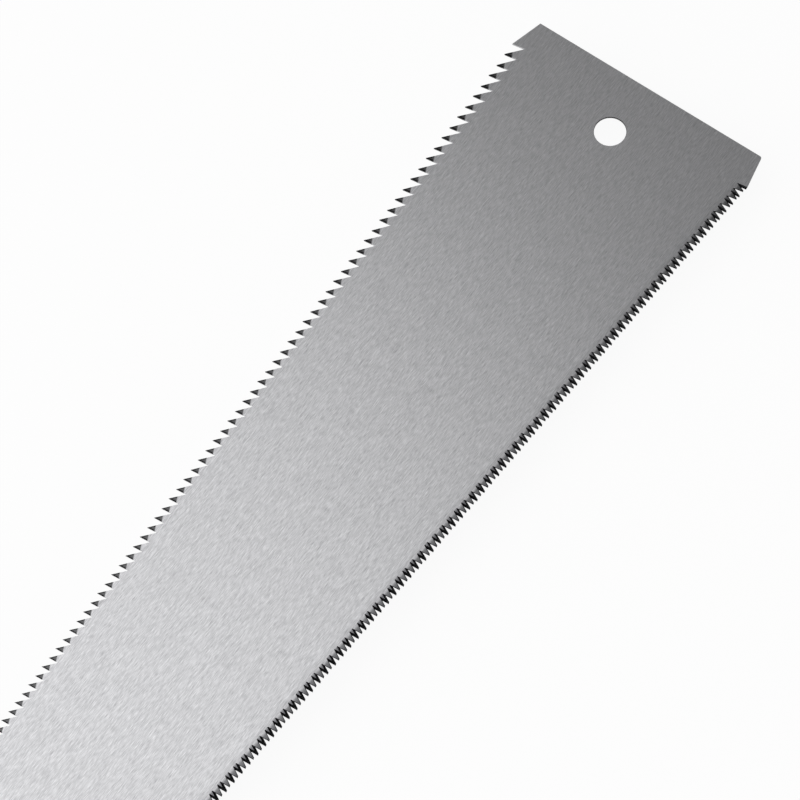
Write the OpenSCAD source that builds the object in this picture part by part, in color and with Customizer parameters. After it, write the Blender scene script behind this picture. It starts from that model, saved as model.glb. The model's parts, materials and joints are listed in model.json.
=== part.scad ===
// Double-edged pull saw. A thin steel blade has crosscut teeth on one edge and rip teeth on the
// other. Its tang hooks on a pin between two steel cheeks and is clamped by a thumb screw. The
// cheeks are bolted between the halves of a wooden handle.
// Lengths are in millimetres. The saw lies flat: +X points to the toe of the blade, +Y to the rip
// edge and +Z up. The origin is on the table, under the middle of the saw.

/* [Blade] */
// Width between the two lines of tooth points, at the toe
toe_width = 82.4; // [76:0.1:88]
// Angle of each toothed edge to the middle line, in degrees
edge_angle = 2.86; // [2.5:0.02:3]
// Thickness of the steel
blade_t = 0.6; // [0.5:0.05:0.7]
// Length of the toothed edges
toothed_length = 250; // [230:5:260]
// How far the rip edge turns in at its toe corner
rip_corner_drop = 3.2; // [2:0.1:3.4]
// How far the crosscut edge turns in at its toe corner
crosscut_corner_drop = 2.5; // [1.5:0.1:2.6]
// Radius of the hanging hole
hang_hole_r = 4.6; // [3:0.1:6]
// Distance from the toe to the middle of the hanging hole
hang_hole_in = 17.5; // [14:0.5:24]
// Offset of the hanging hole towards the rip edge
hang_hole_y = 0.6; // [-2:0.1:2]

/* [Teeth] */
// Crosscut teeth in each inch of the edge
crosscut_tpi = 17; // [15:1:18]
// Distance from the toe to the first crosscut point
crosscut_first = 10.65; // [10:0.05:12]
// How far the crosscut points are bent out of the blade
crosscut_set = 0.16; // [0:0.02:0.2]
// Pitch of the rip teeth at the toe
rip_pitch = 4.135; // [4:0.005:4.3]
// How much shorter each rip pitch is than the one before it
rip_step = 0.0203; // [0.018:0.0001:0.021]
// Distance from the toe to the first rip point
rip_first = 10.2; // [9.5:0.05:12]
// How far the rip points are bent out of the blade
rip_set = 0.16; // [0:0.02:0.2]

/* [Tang and holder] */
// Width of the neck and the tang
tang_w = 20; // [18:0.5:21]
// Length of the holder that shows in front of the handle
holder_length = 48; // [48:1:56]
// Width of the holder
holder_w = 29; // [29:0.5:31]
// Thickness of each steel cheek
cheek_t = 1.5; // [1.2:0.1:1.8]
// Length of the holder inside the handle
tail_length = 70; // [60:1:90]
// Radius of the pin that the tang hooks on
hook_pin_r = 2.5; // [2:0.1:3]
// Distance from the hook pin forward to the clamp screw
clamp_ahead = 20; // [19:0.5:21]

/* [Clamp screw] */
// Radius of the threaded shank
screw_r = 2.5; // [2.3:0.1:2.7]
// Radius of the knurled knob
knob_r = 8; // [7:0.5:9]
// Height of the knurled knob
knob_h = 6.4; // [5:0.1:6.8]
// Number of flutes round the knob
knob_flutes = 36; // [24:2:48]

/* [Handle] */
// Length of the wooden handle
handle_length = 320; // [300:5:340]
// Thickness of the handle
handle_t = 24; // [23:0.5:26]
// Width of the handle at the ferrule
front_w = 32; // [31:0.5:34]
// Width of the handle at its waist
waist_w = 29; // [27:0.5:31]
// Width of the handle near the butt
butt_w = 39; // [36:0.5:42]
// Radius of the rounding at the butt
butt_round = 8; // [6:0.5:9]
// Length of the ferrule
ferrule_length = 16; // [14:0.5:20]
// Radius of the hanging hole in the butt
eyelet_r = 3.2; // [2.5:0.1:3.5]

/* [Hidden] */
$fn = 64;
INCH = 25.4;

// Clearances: between two fixed pieces, on a running pin, and round a loose screw
snug = 0.05;
running = 0.06;
loose = 0.3;
// How far a cutting shape runs past the face that it cuts
over = 1;

// Proportions of a crosscut tooth. Each gullet is filed at a slant through the blade, so a
// tooth is wide on its outer face and narrow on the face where its bevels show.
cc_pitch = INCH / crosscut_tpi;
cc_depth = 2.004 * cc_pitch;
cc_slant = 0.214 * cc_pitch;
cc_front = tan(12);
cc_back = tan(20);
cc_top = tan(27);
cc_tip_u = cc_pitch + cc_slant - cc_depth * cc_front;
cc_knee_run = (cc_tip_u + cc_slant - cc_depth * cc_back) / (1 - cc_top * cc_back);
cc_inner_rise = (cc_pitch - 2 * cc_slant) / (cc_front + cc_back);
cc_outer_rise = (cc_pitch + 2 * cc_slant) / (cc_front + cc_back);
cc_ridge_rise = (cc_inner_rise + cc_outer_rise) / 2;
cc_count = floor(toothed_length / cc_pitch);

// Proportions of a rip tooth: a chisel whose face hooks a little towards the handle
rip_depth_ratio = 1.02;
rip_hook_ratio = 0.12;
rip_count = floor((rip_pitch - sqrt(pow(rip_pitch, 2) - 2 * rip_step * toothed_length)) / rip_step);

// Places along the saw, counted from the toe
plain_heel = 4;
join_at = crosscut_first + toothed_length + plain_heel;
heel_half = toe_width / 2 - join_at * sin(edge_angle) - cc_depth;
heel_flat = 2;
heel_round = 5;
neck_length = 16;
shoulder_r = heel_half - heel_round - tang_w / 2;
neck_at = join_at + heel_flat + heel_round + shoulder_r;
holder_at = neck_at + neck_length;
handle_at = holder_at + holder_length;
hook_in = 15;
hook_at = handle_at - hook_in;
clamp_at = hook_at - clamp_ahead;
saw_length = handle_at + handle_length;
mid_z = handle_t / 2;

// Holder, with the room that it leaves above, beside and behind the tang
gap_play = 0.1;
side_play = 0.4;
end_play = 0.6;
gap_half = blade_t / 2 + gap_play;
cheek_out = gap_half + cheek_t;
tail_w = 16;
holder_round = 7;
ledge_in = tang_w / 2 + side_play;
ledge_at = holder_at + holder_round;
bridge_at = hook_at + tang_w / 2 + end_play;
tail_end = handle_at + tail_length;
hook_pin_rise = 1;
rivet_y = -(ledge_in + holder_w / 2) / 2;
rivet_r = 1.25;
rivet_rise = 0.8;
rivet_in = 5;
rivet_places = [ledge_at + rivet_in, bridge_at - rivet_in];
rivet_head_ratio = 1.7;
first_bolt_in = 27;
last_bolt_in = 10;
bolt_places = [handle_at + first_bolt_in, tail_end - last_bolt_in];

// Clamp screw stack, as heights above the middle of the blade
flat_washer_t = 1;
flat_washer_r = 2.4 * screw_r;
spring_washer_t = 1.2;
spring_washer_r = 1.9 * screw_r;
knob_base = cheek_out + flat_washer_t + spring_washer_t;
nut_h = 4;
nut_r = 6;
nut_spigot_r = 4;
clamp_lift = 1.6;
clip_play = 0.4;
clip_t = 0.8;
clip_top = -cheek_out - nut_h - clamp_lift - clip_play;
clip_groove_depth = 0.6;
clip_groove_r = screw_r - clip_groove_depth;
clip_stand = 1.7;
clip_r = screw_r + clip_stand;
screw_tail = 0.7;
screw_end = clip_top - clip_t - screw_tail;
screw_boss = 1.2;
screw_boss_r = screw_r + screw_boss;
screw_boss_h = 0.7 * knob_h;

// Handle and its fittings
sides = 24;
section_power = 0.72;
section_crown = 1.03;
ferrule_t = 1.2;
ferrule_wall = 1.2;
wood_at = handle_at + ferrule_length;
wood_length = handle_length - ferrule_length;
spigot_half_w = front_w / 2 - ferrule_t - snug;
spigot_half_t = handle_t / 2 - ferrule_t - snug;
shoulder_bevel = 0.3;
waist_share = 0.4;
butt_share = 0.94;
ring_count = 18;
round_rings = 6;
bolt_head_r = 5;
bolt_head_t = 1.2;
barrel_r = 3;
bolt_r = 2;
recess = 0.2;
dowel_r = 3;
dowel_length = 12;
dowel_shares = [0.45, 0.72];
dowel_places = [for (share = dowel_shares) handle_at + share * handle_length];
eyelet_wall = 0.8;
eyelet_flange = 1.6;
eyelet_in = 26;
eyelet_at = saw_length - eyelet_in;
nail_r = 1;
nail_length = 7;
nail_at = handle_at + ferrule_length / 2;

// X of a place that is counted from the toe
function x_of(s) = saw_length / 2 - s;

// Point of a toothed edge: s runs from the toe along the line of points, o out of it
function edge_point(side, s, o) = [
  x_of(s * cos(edge_angle) + o * sin(edge_angle)),
  side * (toe_width / 2 - s * sin(edge_angle) + o * cos(edge_angle))
];

function lift(p, z) = [p.x, p.y, z];
function reversed(list) = [for (i = [len(list) - 1 : -1 : 0]) list[i]];
function facing(list, way) = way > 0 ? list : reversed(list);
function smooth(t) = t <= 0 ? 0 : t >= 1 ? 1 : t * t * (3 - 2 * t);
function blend(a, b, t) = a + (b - a) * t;
function arc(centre, r, from, to, steps = 12) = [
  for (i = [0 : steps])
    let (a = blend(from, to, i / steps))
      centre + r * [cos(a), sin(a)]
];

// Crosscut edge. Odd teeth are bent up and even ones down; face is 1 on top and -1 below.
function cc_bend(k) = k % 2 == 0 ? -1 : 1;
function cc_place(k, u, rise, z) = lift(
  edge_point(-1, crosscut_first + cc_pitch * k - cc_tip_u + u, rise - cc_depth),
  mid_z + z + cc_bend(k) * crosscut_set * rise / cc_depth
);
function cc_gullet(k, face) = cc_place(k, -face * cc_bend(k) * cc_slant, 0, face * blade_t / 2);
function cc_plain_tip(face) = lift(
  edge_point(-1, crosscut_first + cc_pitch - cc_tip_u - face * cc_slant - cc_depth * cc_front, 0),
  mid_z + face * blade_t / 2
);
function cc_knee(k) = cc_place(
  k, cc_tip_u - cc_knee_run, cc_depth - cc_knee_run * cc_top, cc_bend(k) * blade_t / 2
);
function cc_tip(k) = cc_place(k, cc_tip_u, cc_depth, cc_bend(k) * blade_t / 2);
function cc_apex(k) = cc_place(
  k, cc_slant + cc_inner_rise * cc_back, cc_inner_rise, -cc_bend(k) * blade_t / 2
);
function cc_ridge(k) = cc_place(k, cc_ridge_rise * cc_back, cc_ridge_rise, 0);
function cc_tooth(k) = let (
  way = cc_bend(k),
  out_0 = cc_gullet(k, way),
  out_1 = cc_gullet(k + 1, way),
  in_0 = cc_gullet(k, -way),
  in_1 = cc_gullet(k + 1, -way)
) [
  facing([out_0, out_1, cc_tip(k), cc_knee(k)], way),
  facing([in_0, cc_apex(k), in_1], way),
  facing([out_0, cc_knee(k), cc_ridge(k), cc_apex(k), in_0], way),
  facing([cc_tip(k), out_1, in_1, cc_apex(k), cc_ridge(k)], way),
  facing([cc_knee(k), cc_tip(k), cc_ridge(k)], way)
];

// Rip edge. Its points get closer together and shallower towards the handle.
function rip_at(k) = rip_first + rip_pitch * k - rip_step * k * (k - 1) / 2;
function rip_pitch_at(k) = rip_pitch - rip_step * k;
function rip_depth(k) = rip_depth_ratio * rip_pitch_at(k);
function rip_tip(k, face) = lift(
  edge_point(1, rip_at(k), 0),
  mid_z + face * blade_t / 2 + (k == 0 ? 0 : k % 2 == 0 ? -rip_set : rip_set)
);
function rip_gullet(k, face) = lift(
  edge_point(1, rip_at(k) - rip_hook_ratio * rip_pitch_at(k), -rip_depth(k)),
  mid_z + face * blade_t / 2
);
function rip_tooth(k) = [
  [rip_gullet(k, 1), rip_gullet(k - 1, 1), rip_tip(k, 1)],
  [rip_gullet(k - 1, -1), rip_gullet(k, -1), rip_tip(k, -1)],
  [rip_gullet(k - 1, 1), rip_gullet(k - 1, -1), rip_tip(k, -1)],
  [rip_gullet(k - 1, 1), rip_tip(k, -1), rip_tip(k, 1)],
  [rip_tip(k, 1), rip_tip(k, -1), rip_gullet(k, -1)],
  [rip_tip(k, 1), rip_gullet(k, -1), rip_gullet(k, 1)]
];

// Plain part of the toothed plate: its two faces, as fans, and its edges without teeth
function corner(side, face) = lift(
  [x_of(0), side * (toe_width / 2 - (side > 0 ? rip_corner_drop : crosscut_corner_drop))],
  mid_z + face * blade_t / 2
);
function join(side, face) = lift([x_of(join_at), side * heel_half], mid_z + face * blade_t / 2);
function plate_rim(face) = concat(
  [corner(1, face), corner(-1, face)],
  [for (k = [1 : cc_count]) cc_gullet(k, face)],
  [join(-1, face), join(1, face)],
  [for (k = [rip_count - 1 : -1 : 0]) rip_gullet(k, face)]
);
function plate_face(face) = let (
  rim = plate_rim(face),
  hub = lift([x_of(join_at / 2), 0], mid_z + face * blade_t / 2),
  last = len(rim) - 1
) concat(
  [for (i = [0 : last]) facing([hub, rim[i], rim[i == last ? 0 : i + 1]], -face)],
  [facing([corner(-1, face), cc_plain_tip(face), cc_gullet(1, face)], -face)],
  [facing([rip_gullet(0, face), rip_tip(0, face), corner(1, face)], -face)]
);
function wall(a, b, c, d) = [[a, c, b], [a, d, c]];
function plate_edges() = concat(
  wall(corner(1, 1), corner(1, -1), corner(-1, -1), corner(-1, 1)),
  wall(corner(-1, 1), corner(-1, -1), cc_plain_tip(-1), cc_plain_tip(1)),
  wall(cc_plain_tip(1), cc_plain_tip(-1), cc_gullet(1, -1), cc_gullet(1, 1)),
  wall(cc_gullet(cc_count, 1), cc_gullet(cc_count, -1), join(-1, -1), join(-1, 1)),
  wall(join(-1, 1), join(-1, -1), join(1, -1), join(1, 1)),
  wall(join(1, 1), join(1, -1), rip_gullet(rip_count - 1, -1), rip_gullet(rip_count - 1, 1)),
  wall(rip_gullet(0, 1), rip_gullet(0, -1), rip_tip(0, -1), rip_tip(0, 1)),
  wall(rip_tip(0, 1), rip_tip(0, -1), corner(1, -1), corner(1, 1))
);

// Closed solid from a list of faces, each a list of points in anticlockwise order from outside
module solid_of(faces) {
  starts = [for (i = 0, at = 0; i < len(faces); at = at + len(faces[i]), i = i + 1) at];
  polyhedron(
    points = [for (f = faces) each f],
    faces = [for (i = [0 : len(faces) - 1]) [for (j = [len(faces[i]) - 1 : -1 : 0]) starts[i] + j]]
  );
}

module toothed_plate() {
  solid_of(concat(
    plate_face(1),
    plate_face(-1),
    plate_edges(),
    [for (k = [1 : cc_count - 1]) each cc_tooth(k)],
    [for (k = [1 : rip_count - 1]) each rip_tooth(k)]
  ));
}

// Heel, neck and tang, with a round end about the hook pin
module tang_plate() {
  turn_x = x_of(join_at + heel_flat);
  inner_y = heel_half - heel_round;
  half = concat(
    [[x_of(join_at), heel_half]],
    arc([turn_x, inner_y], heel_round, 90, 180),
    arc([turn_x - heel_round - shoulder_r, inner_y], shoulder_r, 0, -90),
    arc([x_of(hook_at), 0], tang_w / 2, 90, 180)
  );
  mirrored = [for (i = [len(half) - 2 : -1 : 0]) [half[i].x, -half[i].y]];
  translate([0, 0, mid_z - blade_t / 2])
    linear_extrude(height = blade_t)
      polygon(concat(half, mirrored));
}

// Upright round bar with its middle line at the place s from the toe
module bar(s, r, low, high, y = 0) {
  translate([x_of(s), y, mid_z + low])
    cylinder(r = r, h = high - low);
}

// Flat box from the place s_0 to s_1, between two sides and two heights
module slab(s_0, s_1, y_0, y_1, low, high) {
  translate([x_of(s_1), y_0, mid_z + low])
    cube([s_1 - s_0, y_1 - y_0, high - low]);
}

// Way that the clamp screw takes out of the tang as the blade swings on the hook pin
module swing_notch() {
  half_w = screw_r + loose;
  bar(clamp_at, half_w + running, -blade_t, blade_t);
  intersection() {
    difference() {
      bar(hook_at, clamp_ahead + half_w, -blade_t, blade_t);
      bar(hook_at, clamp_ahead - half_w, -2 * blade_t, 2 * blade_t);
    }
    slab(hook_at - 2 * clamp_ahead, hook_at, -2 * clamp_ahead, 0, -blade_t, blade_t);
  }
}

// Hook at the end of the tang: a round seat with a mouth that is a little narrower
module hook_seat() {
  half_mouth = hook_pin_r + running / 2;
  bar(hook_at, hook_pin_r + running, -blade_t, blade_t);
  slab(hook_at - half_mouth, hook_at + half_mouth, -tang_w, 0, -blade_t, blade_t);
}

module blade() {
  color("silver")
    difference() {
      union() {
        toothed_plate();
        tang_plate();
      }
      bar(hang_hole_in, hang_hole_r, -blade_t, blade_t, hang_hole_y);
      hook_seat();
      swing_notch();
    }
}

// Domed head of a rivet on the upper cheek (way 1) or the lower one (way -1)
module rivet_head(s, y, way, r, rise) {
  translate([x_of(s), y, mid_z + way * cheek_out])
    rotate([way > 0 ? 0 : 180, 0, 0])
      rotate_extrude()
        polygon(concat([[0, 0]], [for (a = [0 : 15 : 90]) [r * cos(a), rise * sin(a)]]));
}

module rivet(s, y, r, rise) {
  bar(s, r, -cheek_out, cheek_out, y);
  for (way = [-1, 1])
    rivet_head(s, y, way, rivet_head_ratio * r, rise);
}

module hook_pin() {
  color("gainsboro")
    rivet(hook_at, 0, hook_pin_r, hook_pin_rise);
}

module holder_rivets() {
  color("gainsboro")
    for (s = rivet_places)
      rivet(s, rivet_y, rivet_r, rivet_rise);
}

// Holes that all three plates of the holder share
module holder_holes(low, high) {
  for (s = rivet_places)
    bar(s, rivet_r + snug, low, high, rivet_y);
  for (s = bolt_places)
    bar(s, barrel_r + snug, low, high);
}

// One cheek, lying between two heights, with its front corners rounded
module cheek(low, high, clamp_hole_r) {
  half_w = holder_w / 2;
  front = x_of(holder_at + holder_round);
  outline = concat(
    arc([front, half_w - holder_round], holder_round, 90, 0),
    arc([front, holder_round - half_w], holder_round, 0, -90),
    [[x_of(handle_at), -half_w], [x_of(handle_at), -tail_w / 2]],
    [[x_of(tail_end), -tail_w / 2], [x_of(tail_end), tail_w / 2]],
    [[x_of(handle_at), tail_w / 2], [x_of(handle_at), half_w]]
  );
  difference() {
    translate([0, 0, mid_z + low])
      linear_extrude(height = high - low)
        polygon(outline);
    bar(hook_at, hook_pin_r + snug, low - over, high + over);
    bar(clamp_at, clamp_hole_r, low - over, high + over);
    holder_holes(low - over, high + over);
  }
}

module upper_cheek() {
  color("lightsteelblue")
    cheek(gap_half, cheek_out, screw_r + loose);
}

module lower_cheek() {
  color("lightsteelblue")
    cheek(-cheek_out, -gap_half, nut_spigot_r + snug);
}

// Middle plate: a ledge that stops the tang, a bridge behind it and the tail in the handle
module spacer_plate() {
  half_w = holder_w / 2;
  color("slategray")
    difference() {
      union() {
        slab(ledge_at, handle_at, -half_w, -ledge_in, -gap_half, gap_half);
        slab(bridge_at, handle_at, -half_w, half_w, -gap_half, gap_half);
        slab(bridge_at, tail_end, -tail_w / 2, tail_w / 2, -gap_half, gap_half);
      }
      holder_holes(-gap_half - over, gap_half + over);
    }
}

module clamp_nut() {
  color("darkgoldenrod")
    difference() {
      union() {
        bar(clamp_at, nut_r, -cheek_out - nut_h, -cheek_out);
        bar(clamp_at, nut_spigot_r, -cheek_out, -gap_half);
      }
      bar(clamp_at, screw_r + running, -cheek_out - nut_h - over, 0);
    }
}

module flat_washer() {
  color("silver")
    difference() {
      bar(clamp_at, flat_washer_r, cheek_out, cheek_out + flat_washer_t);
      bar(clamp_at, screw_r + loose, 0, knob_base);
    }
}

// Split ring under the knob, cut at a slant
module spring_washer() {
  split = 0.8;
  split_slant = 20;
  base = cheek_out + flat_washer_t;
  color("dimgray")
    difference() {
      bar(clamp_at, spring_washer_r, base, knob_base);
      bar(clamp_at, screw_r + loose, 0, knob_base + over);
      translate([x_of(clamp_at), 0, mid_z + base])
        rotate([split_slant, 0, 0])
          translate([0, -split / 2, -spring_washer_t])
            cube([spring_washer_r + over, split, 3 * spring_washer_t]);
    }
}

module clamp_screw() {
  color("gainsboro") {
    bar(clamp_at, screw_boss_r, knob_base + snug, knob_base + screw_boss_h);
    bar(clamp_at, screw_r, clip_top, knob_base + snug);
    bar(clamp_at, clip_groove_r, clip_top - clip_t - snug, clip_top);
    bar(clamp_at, screw_r, screw_end, clip_top - clip_t - snug);
  }
}

// Fluted thumb knob with rounded rims and a slot for a coin
module clamp_knob() {
  top = knob_base + knob_h;
  rim = 0.8;
  flute = 0.35;
  slot_w = 1.8;
  slot_depth = 1.4;
  color("goldenrod")
    translate([x_of(clamp_at), 0, mid_z])
      difference() {
        intersection() {
          translate([0, 0, knob_base])
            linear_extrude(height = knob_h)
              polygon([
                for (i = [0 : 2 * knob_flutes - 1])
                  let (a = 180 * i / knob_flutes, r = knob_r - (i % 2) * flute)
                    r * [cos(a), sin(a)]
              ]);
          rotate_extrude()
            polygon([
              [0, knob_base], [knob_r - rim, knob_base], [knob_r + flute, knob_base + rim + flute],
              [knob_r + flute, top - rim - flute], [knob_r - rim, top], [0, top]
            ]);
        }
        translate([0, 0, knob_base - over])
          cylinder(r = screw_boss_r + snug, h = over + screw_boss_h + snug);
        translate([-knob_r - over, -slot_w / 2, top - slot_depth])
          cube([2 * (knob_r + over), slot_w, slot_depth + over]);
      }
}

// Open ring in the groove near the end of the screw
module retaining_clip() {
  mouth = 1.6 * clip_groove_r;
  color("dimgray")
    difference() {
      bar(clamp_at, clip_r, clip_top - clip_t, clip_top - snug);
      bar(clamp_at, clip_groove_r + snug, clip_top - 2 * clip_t, clip_top + over);
      slab(
        clamp_at, clamp_at + 2 * clip_r,
        -mouth / 2, mouth / 2, clip_top - 2 * clip_t, clip_top + over
      );
    }
}

// Upper half of a rounded section, from one side over the crown to the other
function half_section(half_w, half_t) = [
  for (i = [0 : sides])
    let (
      a = 180 * i / sides,
      across = sign(cos(a)) * pow(abs(cos(a)), section_power),
      rise = section_crown * pow(sin(a), section_power)
    ) [half_w * across, half_t * min(1, rise)]
];

module full_section(half_w, half_t) {
  top = half_section(half_w, half_t);
  polygon(concat(top, [for (i = [sides - 1 : -1 : 1]) [top[i].x, -top[i].y]]));
}

// Half width of the handle behind the ferrule
function handle_half(s) = let (t = (s - wood_at) / wood_length)
  t < waist_share
    ? blend(front_w, waist_w, smooth(t / waist_share)) / 2
    : blend(waist_w, butt_w, smooth((t - waist_share) / (butt_share - waist_share))) / 2;

// Rings of the handle: place, half width and half thickness
function handle_rings() = concat(
  [for (s = [handle_at + ferrule_wall + snug, wood_at]) [s, spigot_half_w, spigot_half_t]],
  [
    for (i = [0 : ring_count])
      let (s = blend(wood_at + shoulder_bevel, saw_length - butt_round, i / ring_count))
        [s, handle_half(s), handle_t / 2]
  ],
  [
    for (i = [1 : round_rings])
      let (
        a = 90 * i / round_rings,
        s = saw_length - butt_round * (1 - sin(a)),
        inset = butt_round * (1 - cos(a))
      ) [s, handle_half(s) - inset, handle_t / 2 - inset]
  ]
);

// Half of the handle above (way 1) or below (way -1) the glue line
module handle_half_solid(way) {
  rings = [
    for (r = handle_rings())
      [for (p = half_section(r[1], r[2])) [x_of(r[0]), p.x, mid_z + way * p.y]]
  ];
  last = len(rings) - 1;
  solid_of(concat(
    [facing(rings[0], way), facing(rings[last], -way)],
    [
      for (r = [0 : last - 1], i = [0 : sides])
        let (j = i == sides ? 0 : i + 1)
          each [
            facing([rings[r][j], rings[r][i], rings[r + 1][i]], way),
            facing([rings[r][j], rings[r + 1][i], rings[r + 1][j]], way)
          ]
    ]
  ));
}

// Slot for the holder's tail, from the place s_0 to s_1
module tail_slot(s_0, s_1) {
  half_w = tail_w / 2 + snug;
  slab(s_0, s_1, -half_w, half_w, -cheek_out - snug, cheek_out + snug);
}

// Everything that is cut out of both halves of the handle
module handle_cuts() {
  top = mid_z + over;
  flange_r = eyelet_r + eyelet_flange + 2 * snug;
  tail_slot(handle_at, tail_end + snug);
  for (s = bolt_places) {
    bar(s, barrel_r + snug, -top, top);
    bar(s, bolt_head_r + snug, mid_z - bolt_head_t - recess, top);
    bar(s, bolt_head_r + snug, -top, -mid_z + bolt_head_t + recess);
  }
  for (s = dowel_places)
    bar(s, dowel_r + snug, -dowel_length / 2 - snug, dowel_length / 2 + snug);
  bar(eyelet_at, eyelet_r + eyelet_wall + snug, -top, top);
  bar(eyelet_at, flange_r, mid_z - eyelet_wall - recess, top);
  bar(eyelet_at, flange_r, -top, -mid_z + eyelet_wall + recess);
  bar(nail_at, nail_r + snug, mid_z - nail_length - recess, top);
  bar(nail_at, nail_r + snug, -top, -mid_z + nail_length + recess);
}

module handle_upper() {
  color("burlywood")
    difference() {
      handle_half_solid(1);
      handle_cuts();
    }
}

module handle_lower() {
  color("tan")
    difference() {
      handle_half_solid(-1);
      handle_cuts();
    }
}

// Drawn cup over the front of the wood, with a slot for the holder's tail
module ferrule() {
  color("lightgray")
    difference() {
      translate([x_of(handle_at), 0, mid_z])
        rotate([90, 0, -90])
          difference() {
            linear_extrude(height = ferrule_length)
              full_section(front_w / 2, handle_t / 2);
            translate([0, 0, ferrule_wall])
              linear_extrude(height = ferrule_length)
                full_section(front_w / 2 - ferrule_t, handle_t / 2 - ferrule_t);
          }
      tail_slot(handle_at - over, handle_at + 2 * ferrule_wall);
      bar(nail_at, nail_r + snug, -mid_z - over, mid_z + over);
    }
}

module ferrule_nails() {
  color("gold") {
    bar(nail_at, nail_r, mid_z - nail_length, mid_z - recess / 2);
    bar(nail_at, nail_r, -mid_z + recess / 2, -mid_z + nail_length);
  }
}

module alignment_dowels() {
  color("peru")
    for (s = dowel_places)
      bar(s, dowel_r, -dowel_length / 2, dowel_length / 2);
}

// Sleeve nuts from above
module handle_barrels() {
  color("gold")
    for (s = bolt_places)
      difference() {
        union() {
          bar(s, bolt_head_r, mid_z - bolt_head_t - recess, mid_z - recess);
          bar(s, barrel_r, -mid_z / 2, mid_z - bolt_head_t - recess);
        }
        bar(s, bolt_r + snug, -mid_z, mid_z - 2 * bolt_head_t - recess);
      }
}

// Slotted screws that go up into the sleeve nuts
module handle_screws() {
  slot_w = 1.2;
  slot_depth = 0.7;
  under = -mid_z + recess;
  color("gold")
    for (s = bolt_places)
      difference() {
        union() {
          bar(s, bolt_head_r, under, under + bolt_head_t);
          bar(s, bolt_r, under + bolt_head_t, mid_z / 2);
        }
        slab(
          s - bolt_head_r - over, s + bolt_head_r + over,
          -slot_w / 2, slot_w / 2, under - over, under + slot_depth
        );
      }
}

// Flanged tube through the butt
module hang_eyelet() {
  face = mid_z - recess;
  color("gold")
    difference() {
      union() {
        bar(eyelet_at, eyelet_r + eyelet_wall, -face, face);
        bar(eyelet_at, eyelet_r + eyelet_flange, face - eyelet_wall, face);
        bar(eyelet_at, eyelet_r + eyelet_flange, -face, -face + eyelet_wall);
      }
      bar(eyelet_at, eyelet_r, -mid_z, mid_z);
    }
}

blade();
hook_pin();
upper_cheek();
lower_cheek();
spacer_plate();
holder_rivets();
clamp_nut();
flat_washer();
spring_washer();
clamp_screw();
clamp_knob();
retaining_clip();
ferrule();
ferrule_nails();
handle_upper();
handle_lower();
alignment_dowels();
handle_barrels();
handle_screws();
hang_eyelet();
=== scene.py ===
import json
import math

import bmesh
import bpy
from mathutils import Matrix, Vector

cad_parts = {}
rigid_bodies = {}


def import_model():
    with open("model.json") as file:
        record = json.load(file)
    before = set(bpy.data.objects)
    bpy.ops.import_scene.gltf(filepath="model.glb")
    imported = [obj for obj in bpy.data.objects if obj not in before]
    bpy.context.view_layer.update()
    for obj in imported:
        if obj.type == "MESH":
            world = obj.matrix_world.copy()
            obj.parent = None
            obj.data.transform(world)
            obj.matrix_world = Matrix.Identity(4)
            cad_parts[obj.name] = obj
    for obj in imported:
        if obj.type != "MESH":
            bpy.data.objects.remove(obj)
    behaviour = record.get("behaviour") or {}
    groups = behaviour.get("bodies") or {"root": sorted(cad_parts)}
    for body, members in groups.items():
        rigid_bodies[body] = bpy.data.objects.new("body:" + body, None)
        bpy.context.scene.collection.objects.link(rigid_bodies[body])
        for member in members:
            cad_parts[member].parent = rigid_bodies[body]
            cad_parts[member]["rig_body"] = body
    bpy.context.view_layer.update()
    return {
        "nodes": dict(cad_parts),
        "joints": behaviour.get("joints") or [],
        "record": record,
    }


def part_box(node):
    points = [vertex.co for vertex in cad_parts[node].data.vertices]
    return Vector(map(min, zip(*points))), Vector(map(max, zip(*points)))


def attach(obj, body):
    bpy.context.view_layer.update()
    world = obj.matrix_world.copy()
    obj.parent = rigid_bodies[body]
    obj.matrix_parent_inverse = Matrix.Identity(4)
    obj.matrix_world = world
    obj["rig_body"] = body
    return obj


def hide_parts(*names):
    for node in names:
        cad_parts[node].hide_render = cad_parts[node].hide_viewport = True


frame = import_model()

# Blade. One strip of spring steel 0.6 mm thick, ground and brushed along its length, with crosscut
# teeth on the -Y edge and rip teeth on the +Y edge. The teeth are filed and set, and a flash of
# current hardens their points and blackens them.
MM = 0.001
MERGE = 0.0005 * MM
EDGE_ANGLE = math.radians(2.86)
TOE_WIDTH = 82.4 * MM
TOOTHED_LENGTH = 250 * MM
CROSSCUT_FIRST = 10 * MM
CROSSCUT_DEPTH = 3 * MM
RIP_DEPTH = 4.3 * MM
TOOTH_MARGIN = 0.3 * MM
# Width of the line of painted shade round the outer face of each crosscut tooth
EDGE_SHADE_LINE = 0.18 * MM
HOLE_CUTS = 3
DEBURR = 0.08 * MM
CORNER_ROUND = 0.55 * MM
CORNER_STEPS = 6
# How upright a normal is: at least this on the plate and on a tooth's flat, at most this on a wall
PLATE_FLAT = 0.9999
TOOTH_FLAT = 0.97
WALL_FLAT = 0.5
# Heat tint of the crosscut teeth at their roots, and the length over which it fades at the toe
ROOT_HEAT = 0.2
HEAT_FADE = 2 * MM
# In tooth depths: how far heat reaches into the plate, how gradually a tooth darkens, and where it
# is darkest
HEAT_REACH = 0.5
HEAT_BLUR = 0.3
BURNT_AT = 0.9
# Share of a rip tooth's height at which its black point starts, and how much that line slants
BLACK_AT_TOE = 0.61
BLACK_AT_HEEL = 0.44
BLACK_SLANT = 0.31
BLACK_BLUR = 0.04
# Share of a rip tooth's width in which its black edges turn into the greyer middle
RIM_FROM = 0.04
RIM_TO = 0.2
# Places in the blade's list of finishes, after the plate's. The hole's wall is painted shade, and
# the bevels' black also draws a line of painted shade round the crosscut teeth.
RIP_TOOTH, CROSSCUT_OUTER, CROSSCUT_INNER, BEVEL_AND_EDGE_SHADE, HOLE_WALL_SHADE = range(1, 6)


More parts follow.
